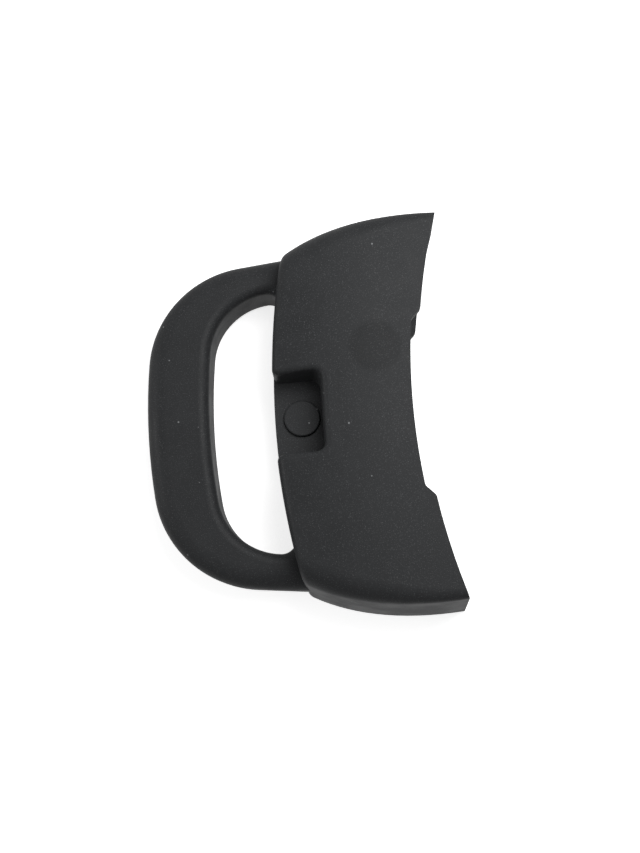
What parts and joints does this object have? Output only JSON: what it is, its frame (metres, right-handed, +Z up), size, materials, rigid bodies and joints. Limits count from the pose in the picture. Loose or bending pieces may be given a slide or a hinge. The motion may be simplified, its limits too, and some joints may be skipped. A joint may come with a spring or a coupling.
{
  "type": "loop side handle",
  "caption": "Moulded loop handle with a hollow flared hood that bears on the side of a round vessel, fixed by a screw through its spine.",
  "frame": {"origin": "on the screw's axis, at the face where the bracket tongue seats, halfway up the handle", "axes": "+X towards the vessel, +Y across the handle, +Z up, out of the face with the pocket and the screw cover"},
  "size_m": [0.1034, 0.136, 0.0351],
  "materials": {
    "moulding_plastic": "fine-grained dark charcoal, low sheen",
    "cover_plastic": "fine-grained dark charcoal, a little smoother"
  },
  "bodies": {
    "root": {"handle_moulding": "moulding_plastic", "screw_cover": "cover_plastic"}
  },
  "joints": []
}
